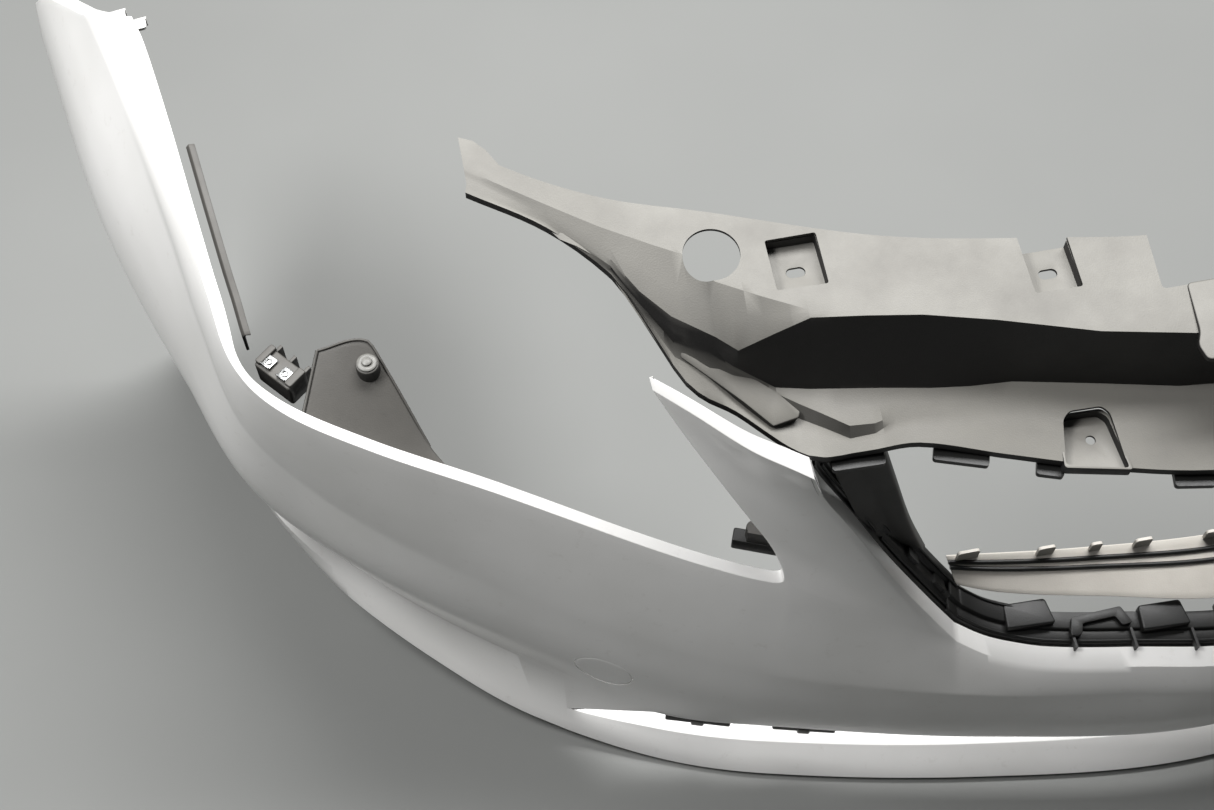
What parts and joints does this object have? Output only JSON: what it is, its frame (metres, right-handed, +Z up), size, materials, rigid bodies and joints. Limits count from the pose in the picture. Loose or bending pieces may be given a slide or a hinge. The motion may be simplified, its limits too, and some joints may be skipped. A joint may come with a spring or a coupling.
{
  "type": "bumper cover",
  "caption": "Painted front bumper cover with grille opening, headlight cut-outs, lower slot, black top shroud, grille carrier, air guides and brackets.",
  "frame": {"origin": "bottom centre of the bounding box, on the floor that the lip and the wings' rear ends stand on", "axes": "-Y to the front of the car, +Z up, +X to the car's left; X is the longest extent"},
  "size_m": [1.8652, 0.7353, 0.59],
  "materials": {
    "white_paint": "satin-gloss white paint on moulded plastic",
    "grained_black_plastic": "fine moulded grain, dusty on top faces",
    "dusty_grey_plastic": "moulded, smudged with dust",
    "grey_nylon": "moulded nylon",
    "zinc_steel": "zinc-plated spring steel"
  },
  "bodies": {
    "cover": {"corner_bracket_left": "grained_black_plastic", "corner_bracket_right": "grained_black_plastic", "grille_frame_lower": "grained_black_plastic", "grille_frame_side_left": "grained_black_plastic", "grille_frame_side_right": "grained_black_plastic", "grille_frame_upper": "grained_black_plastic", "headlight_bracket_left": "dusty_grey_plastic", "headlight_bracket_right": "dusty_grey_plastic", "inner_lamp_bracket_left": "grained_black_plastic", "inner_lamp_bracket_right": "grained_black_plastic", "lower_air_guide": "dusty_grey_plastic", "main_skin": "white_paint", "push_rivet_left": "grey_nylon", "push_rivet_right": "grey_nylon", "side_air_guide_left": "dusty_grey_plastic", "side_air_guide_right": "dusty_grey_plastic", "slot_clip_left_1": "grained_black_plastic", "slot_clip_left_2": "grained_black_plastic", "slot_clip_right_1": "grained_black_plastic", "slot_clip_right_2": "grained_black_plastic", "speed_nut_left_1": "zinc_steel", "speed_nut_left_2": "zinc_steel", "speed_nut_right_1": "zinc_steel", "speed_nut_right_2": "zinc_steel", "upper_shroud": "grained_black_plastic", "wing_support_left": "grained_black_plastic", "wing_support_right": "grained_black_plastic"},
    "tow_cover": {"tow_eye_cover": "white_paint"},
    "pin_left": {"rivet_pin_left": "grey_nylon"},
    "pin_right": {"rivet_pin_right": "grey_nylon"}
  },
  "joints": [
    {"name": "tow_cover_pull", "type": "slide", "parent": "cover", "child": "tow_cover", "axis": [-0.4712, -0.882, 0], "range_m": [0, 0.016]},
    {"name": "pin_left_pull", "type": "slide", "parent": "cover", "child": "pin_left", "axis": [0, 0, 1], "range_m": [0, 0.006]},
    {"name": "pin_right_pull", "type": "slide", "parent": "cover", "child": "pin_right", "axis": [0, 0, 1], "range_m": [0, 0.006]}
  ]
}
